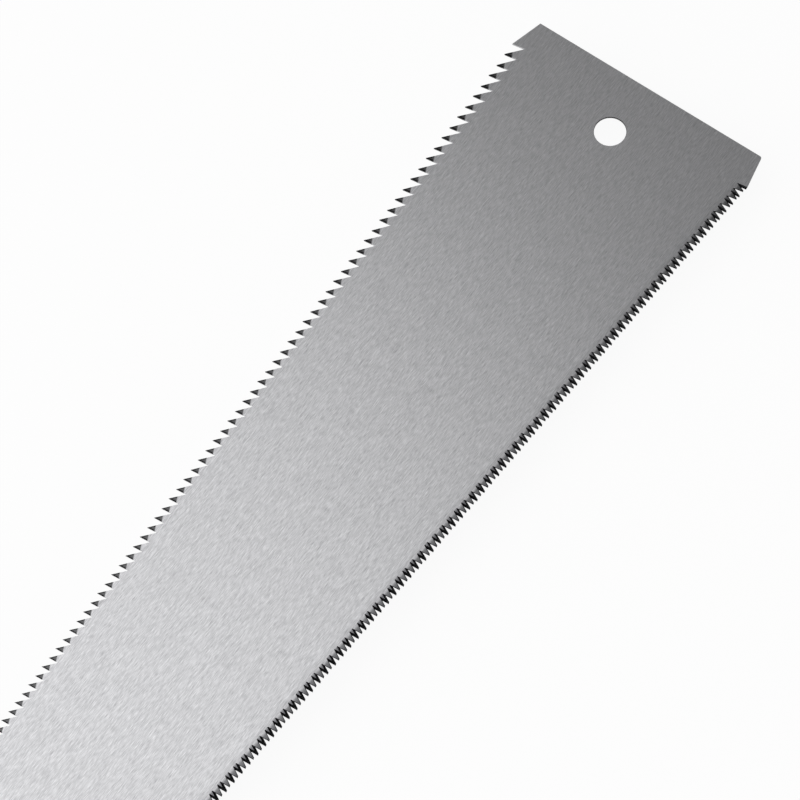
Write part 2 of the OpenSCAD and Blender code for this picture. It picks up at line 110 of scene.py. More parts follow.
def linear(code):
    """An sRGB hex colour as a linear one."""
    parts = [int(code[i:i + 2], 16) / 255 for i in (1, 3, 5)]
    return [c / 12.92 if c <= 0.04045 else ((c + 0.055) / 1.055) ** 2.4 for c in parts] + [1]


def find(sockets, name):
    """The socket with an index, or the one in use that has a name."""
    if isinstance(name, int):
        return sockets[name]
    return next(s for s in sockets if s.name == name and s.enabled)


def add(owner, kind, settings=None, inputs=None):
    """Adds a node. Inputs are plain values, or nodes and sockets that are linked to them."""
    made = owner.node_tree.nodes.new("ShaderNode" + kind)
    for name, value in (settings or {}).items():
        setattr(made, name, value)
    for name, value in (inputs or {}).items():
        if isinstance(value, bpy.types.Node):
            value = next(s for s in value.outputs if s.enabled)
        if isinstance(value, bpy.types.NodeSocket):
            owner.node_tree.links.new(value, find(made.inputs, name))
        else:
            find(made.inputs, name).default_value = value
    return made


def start_material(name):
    """A new material with nothing in it."""
    made = bpy.data.materials.new(name)
    made.use_nodes = True
    made.node_tree.nodes.clear()
    return made


def cover(material, shader):
    """Ends a material with its shader."""
    add(material, "OutputMaterial", inputs={"Surface": shader})
    return material


def fibres(material, length, width, place=(0, 0, 0), detail=2):
    """Noise drawn out along the saw: marks of a real length and width, from 0 to 1."""
    spot = add(material, "TexCoord").outputs["Object"]
    scale = (1 / length, 1 / width, 1 / width)
    spread = add(material, "Mapping", inputs={"Vector": spot, "Location": place, "Scale": scale})
    return add(material, "TexNoise", inputs={"Vector": spread, "Scale": 1, "Detail": detail})


def brushed_steel(material):
    """Colour, roughness and scratches of the brushed plate. The scratches are short, lie along the
    blade and are drawn wider than real ones, so that they show."""
    short = fibres(material, length=1.6 * MM, width=0.11 * MM)
    long = fibres(material, length=5 * MM, width=0.16 * MM, place=(3, 5, 0))
    both = add(material, "Math", {"operation": "MULTIPLY_ADD"}, {0: long, 1: 0.6, 2: short})
    tone = add(material, "MapRange", inputs={"Value": both, "From Min": 0.5, "From Max": 1.1})
    colour = add(
        material, "Mix", {"data_type": "RGBA"},
        {"Factor": tone, "A": linear("#949496"), "B": linear("#D1D1D3")},
    )
    rough = add(material, "MapRange", inputs={"Value": tone, "To Min": 0.44, "To Max": 0.36})
    scratches = add(
        material, "Bump", inputs={"Height": both, "Strength": 0.3, "Distance": 0.004 * MM}
    )
    return colour, rough, scratches


def toward_crosscut(material):
    """How far out the crosscut teeth reach: 0 at the gullets and 1 at the points."""
    spot = add(material, "TexCoord").outputs["Object"]
    outward = (-math.sin(EDGE_ANGLE), -math.cos(EDGE_ANGLE), 0)
    along = add(material, "VectorMath", {"operation": "DOT_PRODUCT"}, {0: spot, 1: outward})
    points = TOE_WIDTH / 2 * math.cos(EDGE_ANGLE) - toe_x * math.sin(EDGE_ANGLE)
    return add(
        material, "MapRange", {"clamp": False},
        {"Value": along.outputs["Value"], "From Min": points - CROSSCUT_DEPTH, "From Max": points},
    )


def steel_plate():
    """Brushed carbon steel: satin grey, a little darker beside the heated crosscut teeth."""
    steel = start_material("brushed_carbon_steel")
    colour, rough, scratches = brushed_steel(steel)
    spot = add(steel, "SeparateXYZ", inputs={"Vector": add(steel, "TexCoord").outputs["Object"]})
    toothed = add(
        steel, "MapRange",
        inputs={
            "Value": spot.outputs["X"], "From Min": toe_x - CROSSCUT_FIRST - HEAT_FADE,
            "From Max": toe_x - CROSSCUT_FIRST, "To Min": ROOT_HEAT, "To Max": 0,
        },
    )
    heat = add(
        steel, "MapRange", {"interpolation_type": "SMOOTHSTEP"},
        {"Value": toward_crosscut(steel), "From Min": -HEAT_REACH, "From Max": 0, "To Max": toothed},
    )
    tinted = add(
        steel, "Mix", {"data_type": "RGBA"},
        {"Factor": heat, "A": colour, "B": linear("#6C6C6E")},
    )
    shader = add(
        steel, "BsdfPrincipled",
        inputs={"Base Color": tinted, "Metallic": 1, "Roughness": rough, "Normal": scratches},
    )
    return cover(steel, shader)


def rip_tooth_steel():
    """Rip tooth: steel at its root and black oxide at its point, with a slanting edge between."""
    steel = start_material("flash_hardened_rip_tooth")
    colour, rough, scratches = brushed_steel(steel)
    place = add(steel, "UVMap", {"uv_map": "teeth"})
    across = add(steel, "SeparateXYZ", inputs={"Vector": place})
    slant = add(
        steel, "Math", {"operation": "MULTIPLY_ADD"},
        {0: across.outputs["X"], 1: BLACK_SLANT, 2: across.outputs["Y"]},
    )
    spot = add(steel, "SeparateXYZ", inputs={"Vector": add(steel, "TexCoord").outputs["Object"]})
    limit = add(
        steel, "MapRange",
        inputs={
            "Value": spot.outputs["X"], "From Min": toe_x - TOOTHED_LENGTH, "From Max": toe_x,
            "To Min": BLACK_AT_HEEL, "To Max": BLACK_AT_TOE,
        },
    )
    past = add(steel, "Math", {"operation": "SUBTRACT"}, {0: slant, 1: limit})
    black = add(
        steel, "MapRange", {"interpolation_type": "SMOOTHSTEP"},
        {"Value": past, "From Min": -BLACK_BLUR, "From Max": BLACK_BLUR},
    )
    from_toe = add(
        steel, "Math", {"operation": "ADD"}, {0: across.outputs["X"], 1: across.outputs["Y"]}
    )
    from_toe = add(steel, "Math", {"operation": "SUBTRACT"}, {0: 1.0, 1: from_toe})
    inside = add(steel, "Math", {"operation": "MINIMUM"}, {0: from_toe, 1: across.outputs["X"]})
    core = add(
        steel, "MapRange", {"interpolation_type": "SMOOTHSTEP"},
        {"Value": inside, "From Min": RIM_FROM, "From Max": RIM_TO},
    )
    oxide = add(
        steel, "Mix", {"data_type": "RGBA"},
        {"Factor": core, "A": linear("#1C1C1D"), "B": linear("#5A5A5B")},
    )
    tinted = add(steel, "Mix", {"data_type": "RGBA"}, {"Factor": black, "A": colour, "B": oxide})
    shader = add(
        steel, "BsdfPrincipled",
        inputs={"Base Color": tinted, "Metallic": 1, "Roughness": rough, "Normal": scratches},
    )
    return cover(steel, shader)


def heated_face(name, tone, reach, tip_tone):
    """Face of a crosscut tooth: plate steel at its root, dark from a share of its height on."""
    steel = start_material(name)
    colour, rough, scratches = brushed_steel(steel)
    rise = toward_crosscut(steel)
    heat = add(
        steel, "MapRange", {"interpolation_type": "SMOOTHSTEP"},
        {"Value": rise, "From Min": reach - HEAT_BLUR, "From Max": reach, "To Min": ROOT_HEAT},
    )
    tinted = add(
        steel, "Mix", {"data_type": "RGBA"}, {"Factor": heat, "A": colour, "B": linear(tone)}
    )
    burnt = add(steel, "MapRange", inputs={"Value": rise, "From Min": reach, "From Max": BURNT_AT})
    tipped = add(
        steel, "Mix", {"data_type": "RGBA"}, {"Factor": burnt, "A": tinted, "B": linear(tip_tone)}
    )
    shader = add(
        steel, "BsdfPrincipled",
        inputs={"Base Color": tipped, "Metallic": 1, "Roughness": rough, "Normal": scratches},
    )
    return cover(steel, shader)


def cut_steel(name, dark, light):
    """Steel cut across, dark: fine marks between two tones. On the hole's wall and in the line round
    each crosscut tooth, the dark is painted shade.
    """
    steel = start_material(name)
    marks = fibres(steel, length=0.25 * MM, width=1.5 * MM)
    colour = add(
        steel, "Mix", {"data_type": "RGBA"},
        {"Factor": marks, "A": linear(dark), "B": linear(light)},
    )
    rough = add(steel, "MapRange", inputs={"Value": marks, "To Min": 0.35, "To Max": 0.5})
    ridges = add(steel, "Bump", inputs={"Height": marks, "Strength": 0.3, "Distance": 0.01 * MM})
    shader = add(
        steel, "BsdfPrincipled",
        inputs={"Base Color": colour, "Metallic": 1, "Roughness": rough, "Normal": ridges},
    )
    return cover(steel, shader)


def cad_copy(node):
    """The triangles of a CAD node, joined where they meet."""
    shape = bmesh.new()
    shape.from_mesh(frame["nodes"][node].data)
    bmesh.ops.remove_doubles(shape, verts=shape.verts, dist=MERGE)
    return shape


def make_piece(name, shape, node, materials, smooth=None):
    """Turns a shape into a piece that stands for a CAD node and rides on its body. Its edges are
    shaded smooth up to an angle, if one is given."""
    mesh = bpy.data.meshes.new(name)
    shape.to_mesh(mesh)
    shape.free()
    for material in materials:
        mesh.materials.append(material)
    if "custom_normal" in mesh.attributes:
        mesh.attributes.remove(mesh.attributes["custom_normal"])
    piece = bpy.data.objects.new(name, mesh)
    bpy.context.scene.collection.objects.link(piece)
    if smooth is None:
        mesh.shade_flat()
    else:
        mesh.shade_smooth()
        mesh.set_sharp_from_angle(angle=smooth)
        weighted = piece.modifiers.new("even_shading", "WEIGHTED_NORMAL")
        weighted.keep_sharp = True
    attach(piece, frame["nodes"][node]["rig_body"])
    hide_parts(node)
    return piece


def outside(point, side):
    """How far a point lies outside the line of tooth points on one side of the blade."""
    across = side * point.y - TOE_WIDTH / 2
    return (toe_x - point.x) * math.sin(EDGE_ANGLE) + across * math.cos(EDGE_ANGLE)


def is_tooth(face, side, depth):
    """Whether a face belongs to a tooth: it lies in the row and rises above the gullets."""
    reach = [outside(v.co, side) for v in face.verts]
    return min(reach) > -depth - TOOTH_MARGIN and max(reach) > TOOTH_MARGIN - depth


def on_hole(vert):
    """Whether a corner lies on the round of the hole."""
    return abs((vert.co - hole_at).xy.length - hole_r) < TOOTH_MARGIN


def hole_rim():
    """The edges round the hole, on both faces of the blade."""
    return [e for e in blade_shape.edges if all(on_hole(v) for v in e.verts)]


def on_toe_corner(vert):
    """Whether a corner lies at the end of the toe on the crosscut side."""
    return vert.co.y < 0 and toe_x - vert.co.x < MERGE


def is_wall(face):
    """Whether a face stands on edge."""
    return abs(face.normal.z) < WALL_FLAT


blade_low, blade_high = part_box("blade")
toe_x = blade_high.x
blade_shape = cad_copy("blade")
teeth = blade_shape.loops.layers.uv.new("teeth")
hole_mount = next(m for m in frame["record"]["mounts"] if m["name"] == "toe_hang_hole")
hole_at = Vector(hole_mount["pos_m"])
hole_r = hole_mount["dims"]["r_mm"] * MM

# The hole's wall is made anew with more corners, so that it looks round, and its rim is deburred.
# The wall and the deburred rim are painted near black, as painted shade inside the hole.
old_wall = [f for f in blade_shape.faces if is_wall(f) and all(on_hole(v) for v in f.verts)]
bmesh.ops.delete(blade_shape, geom=old_wall, context="FACES")
bmesh.ops.subdivide_edges(blade_shape, edges=hole_rim(), cuts=HOLE_CUTS)
rim = hole_rim()
for vert in {v for e in rim for v in e.verts}:
    vert.co.xy = hole_at.xy + (vert.co - hole_at).xy.normalized() * hole_r
for face in bmesh.ops.bridge_loops(blade_shape, edges=rim)["faces"]:
    face.material_index = HOLE_WALL_SHADE
deburred = bmesh.ops.bevel(
    blade_shape, geom=rim, offset=DEBURR, offset_type="OFFSET", segments=1, profile=0.5,
    affect="EDGES", material=-1,
)
for face in deburred["faces"]:
    face.material_index = HOLE_WALL_SHADE

# The toe's corner on the crosscut side is rounded, once the walls beside it are whole faces.
toe_corner = [e for e in blade_shape.edges if all(on_toe_corner(v) for v in e.verts)]
corner_walls = {f for e in toe_corner for f in e.link_faces}
wall_edges = {e for f in corner_walls for e in f.edges} - set(toe_corner)
diagonals = [e for e in wall_edges if all(is_wall(f) for f in e.link_faces)]
bmesh.ops.dissolve_edges(blade_shape, edges=diagonals)
bmesh.ops.bevel(
    blade_shape, geom=toe_corner, offset=CORNER_ROUND, offset_type="OFFSET",
    segments=CORNER_STEPS, profile=0.5, affect="EDGES", material=-1,
)
bmesh.ops.recalc_face_normals(blade_shape, faces=blade_shape.faces)

# Each tooth's faces get their finish. On a rip tooth, v runs from its root to its point and u from
# its toe side to its handle side.
for face in blade_shape.faces:
    tilt = abs(face.normal.z)
    if tilt > PLATE_FLAT or toe_x - face.calc_center_median().x < CROSSCUT_FIRST:
        continue
    if is_tooth(face, -1, CROSSCUT_DEPTH):
        if tilt < TOOTH_FLAT:
            face.material_index = BEVEL_AND_EDGE_SHADE
        else:
            face.material_index = CROSSCUT_OUTER if face.normal.y > 0 else CROSSCUT_INNER
    elif is_tooth(face, 1, RIP_DEPTH):
        face.material_index = RIP_TOOTH
        roots = [v.co.x for v in face.verts if outside(v.co, 1) < -TOOTH_MARGIN]
        for loop in face.loops:
            flank_root = loop.vert.co.x == min(roots) if tilt > TOOTH_FLAT else face.normal.x < 0
            at_tip = outside(loop.vert.co, 1) > -TOOTH_MARGIN
            loop[teeth].uv = (0, 1) if at_tip else (flank_root, 0)

# A dark line of painted shade runs round the outer face of each crosscut tooth, along its filed
# edges.
outer_faces = [f for f in blade_shape.faces if f.material_index == CROSSCUT_OUTER]
edge_shade_faces = bmesh.ops.inset_region(
    blade_shape, faces=outer_faces, thickness=EDGE_SHADE_LINE, use_boundary=True,
    use_even_offset=True,
)
# The outer half of these border faces takes the bevels' black, as a line of painted shade.
for face in edge_shade_faces["faces"]:
    if max(outside(v.co, -1) for v in face.verts) > -CROSSCUT_DEPTH / 2:
        face.material_index = BEVEL_AND_EDGE_SHADE
blade_finishes = [
    steel_plate(),
    rip_tooth_steel(),
    heated_face("heated_outer_face", tone="#6E6E70", reach=0.38, tip_tone="#39393B"),
    heated_face("heated_inner_face", tone="#747477", reach=0.2, tip_tone="#29292A"),
    # Black of the filed bevels, also used for the line of painted shade round the crosscut teeth.
    cut_steel("black_bevel_and_edge_shade", dark="#131314", light="#2C2C2E"),
    # The hole's wall: near black, as painted shade, not the steel's own colour.
    cut_steel("hole_wall_painted_shade", dark="#1C1C1E", light="#303032"),
]
make_piece("saw_blade", blade_shape, "blade", blade_finishes)

# Holder cheeks. Two plates stamped from 1.5 mm steel sheet and nickel-plated with a satin finish.
# The tang lies between them, and their tails run back into the handle.
CHEEK_EDGE = 0.25 * MM
EDGE_STEPS = 2
COPLANAR = math.radians(0.2)
SHARP = math.radians(35)
CREASE = math.radians(40)


def flatten(shape):
    """Joins the triangles of each flat face."""
    bmesh.ops.dissolve_limit(
        shape, angle_limit=COPLANAR, verts=shape.verts, edges=shape.edges,
        use_dissolve_boundaries=False,
    )


def soften(shape, width):
    """Rounds the sharp edges of a shape."""
    edges = [e for e in shape.edges if e.is_manifold and e.calc_face_angle() > SHARP]
    bmesh.ops.bevel(
        shape, geom=edges, offset=width, offset_type="OFFSET", segments=EDGE_STEPS,
        profile=0.5, affect="EDGES", material=-1, clamp_overlap=True,
    )


def satin_nickel():
    """Satin nickel plate: warm grey metal with faint hairlines along the saw, drawn wider than
    real ones, so that they show."""
    nickel = start_material("satin_nickel_plate")
    hair = fibres(nickel, length=9 * MM, width=0.25 * MM)
    cloud = fibres(nickel, length=18 * MM, width=12 * MM, place=(1, 2, 3))
    tone = add(nickel, "Math", {"operation": "MULTIPLY_ADD"}, {0: cloud, 1: 0.4, 2: hair})
    tone = add(nickel, "MapRange", inputs={"Value": tone, "From Min": 0.35, "From Max": 1.05})
    colour = add(
        nickel, "Mix", {"data_type": "RGBA"},
        {"Factor": tone, "A": linear("#B5B1A9"), "B": linear("#D0CCC4")},
    )
    rough = add(nickel, "MapRange", inputs={"Value": tone, "To Min": 0.36, "To Max": 0.26})
    lines = add(nickel, "Bump", inputs={"Height": hair, "Strength": 0.3, "Distance": 0.005 * MM})
    shader = add(
        nickel, "BsdfPrincipled",
        inputs={"Base Color": colour, "Metallic": 1, "Roughness": rough, "Normal": lines},
    )
    return cover(nickel, shader)


nickel_plate = satin_nickel()
for name, node in (("top_cheek", "upper_cheek"), ("bottom_cheek", "lower_cheek")):
    cheek_shape = cad_copy(node)
    flatten(cheek_shape)
    soften(cheek_shape, CHEEK_EDGE)
    make_piece(name, cheek_shape, node, [nickel_plate], smooth=CREASE)

# Spacer plate. Rolled steel a little thicker than the blade, riveted between the cheeks. Its ledge
# shows along one side of the holder and its edges are left as cut.
SPACER_EDGE = 0.08 * MM


def rolled_steel():
    """Cold-rolled steel: dull grey, with darker patches of mill oil."""
    steel = start_material("cold_rolled_steel")
    patch = fibres(steel, length=6 * MM, width=2 * MM)
    colour = add(
        steel, "Mix", {"data_type": "RGBA"},
        {"Factor": patch, "A": linear("#77777A"), "B": linear("#98989B")},
    )
    rough = add(steel, "MapRange", inputs={"Value": patch, "To Min": 0.55, "To Max": 0.4})
    unevenness = add(
        steel, "Bump", inputs={"Height": patch, "Strength": 0.3, "Distance": 0.02 * MM}
    )
    shader = add(
        steel, "BsdfPrincipled",
        inputs={"Base Color": colour, "Metallic": 1, "Roughness": rough, "Normal": unevenness},
    )
    return cover(steel, shader)


spacer_shape = cad_copy("spacer_plate")
flatten(spacer_shape)
soften(spacer_shape, SPACER_EDGE)
make_piece("middle_plate", spacer_shape, "spacer_plate", [rolled_steel()], smooth=CREASE)

# Hook pin and rivets. Turned from bright steel bar, put through the holder and headed over into
# domes on both cheeks. The pin takes the pull of the blade.
DOME_STEPS = 8
SPIN_STEPS = 64
PIN_SHANK = 2.5 * MM
RIVET_SHANK = 1.25 * MM


def turn(shape, profile, axis, closed=False):
    """Spins a profile of (radius, height) points about an upright axis, into a shape."""
    points = [shape.verts.new((axis.x + r, axis.y, z)) for r, z in profile]
    pairs = list(zip(points, points[1:] + points[:1]))
    edges = [shape.edges.new(pair) for pair in (pairs if closed else pairs[:-1])]
    bmesh.ops.spin(
        shape, geom=points + edges, cent=axis, axis=(0, 0, 1), angle=2 * math.pi,
        steps=SPIN_STEPS, use_merge=True,
    )
    bmesh.ops.remove_doubles(shape, verts=shape.verts, dist=MERGE)
    bmesh.ops.recalc_face_normals(shape, faces=shape.faces)


def dome(radius, base, rise):
    """Quarter profile of a domed head, from its rim to its top."""
    angles = [math.pi / 2 * i / DOME_STEPS for i in range(DOME_STEPS + 1)]
    return [(radius * math.cos(a), base + rise * math.sin(a)) for a in angles]


def rivet_profile(node, head, shank):
    """Profile of a rivet from its lower dome to its upper one."""
    low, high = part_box(node)
    under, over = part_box("lower_cheek")[0].z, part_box("upper_cheek")[1].z
    lower = dome(head, under, low.z - under)[::-1]
    upper = dome(head, over, high.z - over)
    return lower + [(shank, under), (shank, over)] + upper


def bright_steel():
    """Drawn steel bar: bright, with faint dull spots left by the heading tool."""
    steel = start_material("bright_drawn_steel")
    spots = fibres(steel, length=0.8 * MM, width=0.8 * MM, detail=4)
    colour = add(
        steel, "Mix", {"data_type": "RGBA"},
        {"Factor": spots, "A": linear("#BCBCBE"), "B": linear("#CFCFD0")},
    )
    rough = add(steel, "MapRange", inputs={"Value": spots, "To Min": 0.27, "To Max": 0.22})
    dents = add(steel, "Bump", inputs={"Height": spots, "Strength": 0.3, "Distance": 0.01 * MM})
    shader = add(
        steel, "BsdfPrincipled",
        inputs={"Base Color": colour, "Metallic": 1, "Roughness": rough, "Normal": dents},
    )
    return cover(steel, shader)


joint_at = {j["name"]: Vector(j["pos_m"]) for j in frame["joints"] if "pos_m" in j}
bright_bar = bright_steel()
pin_low, pin_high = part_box("hook_pin")
pin_head = (pin_high.x - pin_low.x) / 2
pin_shape = bmesh.new()
turn(pin_shape, rivet_profile("hook_pin", pin_head, PIN_SHANK), joint_at["blade_swing"])
make_piece("pull_pin", pin_shape, "hook_pin", [bright_bar], smooth=CREASE)
rivet_low, rivet_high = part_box("holder_rivets")
rivet_head = (rivet_high.y - rivet_low.y) / 2
rivet_shape = bmesh.new()
for x in (rivet_low.x + rivet_head, rivet_high.x - rivet_head):
    axis = Vector((x, (rivet_low.y + rivet_high.y) / 2, 0))
    turn(rivet_shape, rivet_profile("holder_rivets", rivet_head, RIVET_SHANK), axis)
make_piece("ledge_rivets", rivet_shape, "holder_rivets", [bright_bar], smooth=CREASE)

# Clamp nut. A flanged nut turned from brass bar and clinched into the lower cheek, so that it
# doesn't turn with the clamp screw that runs through it.
NUT_SPIGOT = 4 * MM
NUT_BORE = 2.56 * MM
NUT_CHAMFER = 0.5 * MM
SMALL_EDGE = 0.12 * MM
LATHE_RING = 0.15 * MM


def turned_brass(name, axis, apart=0):
    """Brass from the lathe: warm yellow with fine rings, drawn coarse enough to show.
    The rings go round an axis, or round two of them that stand apart along the saw."""
    brass = start_material(name)
    spot = add(brass, "TexCoord").outputs["Object"]
    centred = add(brass, "VectorMath", {"operation": "SUBTRACT"}, {0: spot, 1: axis})
    folded = add(brass, "VectorMath", {"operation": "ABSOLUTE"}, {0: centred})
    moved = add(brass, "VectorMath", {"operation": "SUBTRACT"}, {0: folded, 1: (apart / 2, 0, 0)})
    level = add(brass, "VectorMath", {"operation": "MULTIPLY"}, {0: moved, 1: (1, 1, 0)})
    radius = add(brass, "VectorMath", {"operation": "LENGTH"}, {0: level})
    place = add(brass, "Math", {"operation": "DIVIDE"}, {0: radius.outputs["Value"], 1: LATHE_RING})
    rings = add(
        brass, "TexNoise", {"noise_dimensions": "1D"}, {"W": place, "Scale": 1, "Detail": 2}
    )
    stain = fibres(brass, length=5 * MM, width=4 * MM)
    tone = add(brass, "Math", {"operation": "MULTIPLY_ADD"}, {0: rings, 1: 0.5, 2: stain})
    tone = add(brass, "MapRange", inputs={"Value": tone, "From Min": 0.4, "From Max": 1.1})
    colour = add(
        brass, "Mix", {"data_type": "RGBA"},
        {"Factor": tone, "A": linear("#B98F48"), "B": linear("#DDB86C")},
    )
    rough = add(brass, "MapRange", inputs={"Value": tone, "To Min": 0.38, "To Max": 0.24})
    grooves = add(brass, "Bump", inputs={"Height": rings, "Strength": 0.3, "Distance": 0.01 * MM})
    shader = add(
        brass, "BsdfPrincipled",
        inputs={"Base Color": colour, "Metallic": 1, "Roughness": rough, "Normal": grooves},
    )
    return cover(brass, shader)


screw_axis = joint_at["clamp_turn"]
knob_brass = turned_brass("knob_brass", screw_axis)
nut_low, nut_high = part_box("clamp_nut")
nut_rim = (nut_high.x - nut_low.x) / 2
cheek_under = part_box("lower_cheek")[0].z
nut_profile = [
    (NUT_BORE, nut_low.z), (nut_rim - NUT_CHAMFER, nut_low.z),
    (nut_rim, nut_low.z + NUT_CHAMFER), (nut_rim, cheek_under),
    (NUT_SPIGOT, cheek_under), (NUT_SPIGOT, nut_high.z), (NUT_BORE, nut_high.z),
]
nut_shape = bmesh.new()
turn(nut_shape, nut_profile, screw_axis, closed=True)
soften(nut_shape, SMALL_EDGE)
make_piece("flanged_nut", nut_shape, "clamp_nut", [knob_brass], smooth=CREASE)

# Washers. A zinc-plated flat washer spreads the pressure on the cheek, and a split ring of black
# spring steel under the knob keeps the screw from working loose.
WASHER_BORE = 2.8 * MM
SPLIT = 0.8 * MM


def turn_part(shape, radii, heights, axis, start, sweep):
    """A ring that isn't closed: its section is swept from a start angle, leaving a gap."""
    way = Vector((math.cos(start), math.sin(start), 0))
    inner, outer = [axis.xy.to_3d() + way * r for r in radii]
    low, high = [Vector((0, 0, z)) for z in heights]
    corners = (inner + low, outer + low, outer + high, inner + high)
    section = shape.faces.new([shape.verts.new(corner) for corner in corners])
    bmesh.ops.spin(
        shape, geom=[section] + section.edges[:] + section.verts[:], cent=axis, axis=(0, 0, 1),
        angle=sweep, steps=SPIN_STEPS,
    )
    bmesh.ops.recalc_face_normals(shape, faces=shape.faces)


def zinc_plate():
    """Zinc plate: pale blue-grey metal with a soft cloudy bloom."""
    zinc = start_material("zinc_plate")
    bloom = fibres(zinc, length=2 * MM, width=2 * MM, detail=4)
    colour = add(
        zinc, "Mix", {"data_type": "RGBA"},
        {"Factor": bloom, "A": linear("#A9AEB4"), "B": linear("#CBD0D4")},
    )
    rough = add(zinc, "MapRange", inputs={"Value": bloom, "To Min": 0.42, "To Max": 0.28})
    grains = add(zinc, "Bump", inputs={"Height": bloom, "Strength": 0.3, "Distance": 0.01 * MM})
    shader = add(
        zinc, "BsdfPrincipled",
        inputs={"Base Color": colour, "Metallic": 1, "Roughness": rough, "Normal": grains},
    )
    return cover(zinc, shader)


def black_oxide():
    """Black oxide on spring steel: near black, with a dull oily shine."""
    oxide = start_material("black_oxide_steel")
    oil = fibres(oxide, length=1.5 * MM, width=1.5 * MM, detail=3)
    colour = add(
        oxide, "Mix", {"data_type": "RGBA"},
        {"Factor": oil, "A": linear("#232325"), "B": linear("#3E3E41")},
    )
    rough = add(oxide, "MapRange", inputs={"Value": oil, "To Min": 0.3, "To Max": 0.5})
    grains = add(oxide, "Bump", inputs={"Height": oil, "Strength": 0.3, "Distance": 0.01 * MM})
    shader = add(
        oxide, "BsdfPrincipled",
        inputs={"Base Color": colour, "Metallic": 1, "Roughness": rough, "Normal": grains},
    )
    return cover(oxide, shader)


zinc = zinc_plate()
spring_black = black_oxide()
washer_low, washer_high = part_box("flat_washer")
washer_rim = (washer_high.x - washer_low.x) / 2
washer_profile = [
    (WASHER_BORE, washer_low.z), (washer_rim, washer_low.z),
    (washer_rim, washer_high.z), (WASHER_BORE, washer_high.z),
]
washer_shape = bmesh.new()
turn(washer_shape, washer_profile, screw_axis, closed=True)
soften(washer_shape, SMALL_EDGE)
make_piece("plain_washer", washer_shape, "flat_washer", [zinc], smooth=CREASE)
spring_low, spring_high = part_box("spring_washer")
spring_rim = (spring_high.y - spring_low.y) / 2
split_shape = bmesh.new()
turn_part(
    split_shape, (WASHER_BORE, spring_rim), (spring_low.z, spring_high.z), screw_axis,
    SPLIT / 2 / spring_rim, 2 * math.pi - SPLIT / spring_rim,
)
soften(split_shape, SMALL_EDGE)
make_piece("split_washer", split_shape, "spring_washer", [spring_black], smooth=CREASE)

# Clamp screw. Zinc-plated steel with a rolled thread, a boss that the knob is pressed on, and a
# groove for the clip near its lower end.
THREAD_PITCH = 0.8 * MM
THREAD_DEPTH = 0.4 * MM
SCREW_R = 2.5 * MM
BOSS_R = 3.7 * MM
SNUG = 0.05 * MM
CLIP_GROOVE_R = 1.9 * MM
screw_low, screw_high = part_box("clamp_screw")
clip_low, clip_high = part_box("retaining_clip")
knob_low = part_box("clamp_knob")[0].z
thread_top = knob_low + SNUG
thread_bottom = clip_high.z + SNUG
turns = math.ceil((thread_top - thread_bottom) / THREAD_PITCH) + 2
thread = []
for i in range(turns):
    crest_z = thread_bottom + (i - 1) * THREAD_PITCH
    thread += [(SCREW_R, crest_z), (SCREW_R - THREAD_DEPTH, crest_z + THREAD_PITCH / 2)]
screw_shape = bmesh.new()
thread_points = [screw_shape.verts.new((screw_axis.x + r, screw_axis.y, z)) for r, z in thread]
thread_edges = [screw_shape.edges.new(pair) for pair in zip(thread_points, thread_points[1:])]
bmesh.ops.spin(
    screw_shape, geom=thread_points + thread_edges, cent=screw_axis, axis=(0, 0, 1),
    angle=2 * math.pi, dvec=(0, 0, THREAD_PITCH / SPIN_STEPS), steps=SPIN_STEPS,
)
bmesh.ops.remove_doubles(screw_shape, verts=screw_shape.verts, dist=MERGE)
for z, outward in ((thread_bottom, -1), (thread_top, 1)):
    everything = screw_shape.verts[:] + screw_shape.edges[:] + screw_shape.faces[:]
    bmesh.ops.bisect_plane(
        screw_shape, geom=everything, plane_co=(0, 0, z), plane_no=(0, 0, outward),
        clear_outer=True,
    )
bmesh.ops.holes_fill(screw_shape, edges=screw_shape.edges)
bmesh.ops.recalc_face_normals(screw_shape, faces=screw_shape.faces)
boss = [(0, thread_top), (BOSS_R, thread_top), (BOSS_R, screw_high.z), (0, screw_high.z)]
turn(screw_shape, boss, screw_axis)
tail = [
    (0, screw_low.z), (SCREW_R - THREAD_DEPTH, screw_low.z), (SCREW_R, screw_low.z + THREAD_DEPTH),
    (SCREW_R, clip_low.z - SNUG), (CLIP_GROOVE_R, clip_low.z - SNUG),
    (CLIP_GROOVE_R, thread_bottom), (0, thread_bottom),
]
turn(screw_shape, tail, screw_axis)
make_piece("thumb_screw", screw_shape, "clamp_screw", [zinc], smooth=CREASE)

# Knob. Turned from brass bar and pressed on the boss of the screw. Straight flutes round its rim
# give grip, and the slot across its top takes a coin.
knob_shape = cad_copy("clamp_knob")
flatten(knob_shape)
soften(knob_shape, SMALL_EDGE)
make_piece("fluted_knob", knob_shape, "clamp_knob", [knob_brass], smooth=CREASE)

# Retaining clip. An open ring stamped from spring steel and blackened. It snaps into the groove of
# the screw and keeps the screw in its nut.
CLIP_BORE = 1.95 * MM
CLIP_MOUTH = math.radians(44)
clip_rim = (clip_high.y - clip_low.y) / 2
clip_shape = bmesh.new()
turn_part(
    clip_shape, (CLIP_BORE, clip_rim), (clip_low.z, clip_high.z), screw_axis,
    CLIP_MOUTH / 2 - math.pi, 2 * math.pi - CLIP_MOUTH,
)
soften(clip_shape, SMALL_EDGE)
make_piece("open_clip", clip_shape, "retaining_clip", [spring_black], smooth=CREASE)

# Handle. Two halves of steamed beech, shaped on a spindle moulder, glued round the holder's tail
# and oiled. The grain runs along the saw.
WOOD_EDGE = 0.25 * MM
GRAIN_DRAWN_OUT = 0.12
RING_STEP = 4.5 * MM
# Distance between the wave texture's rings at a scale of 1
TEXTURE_RING = 2 * math.pi / 20


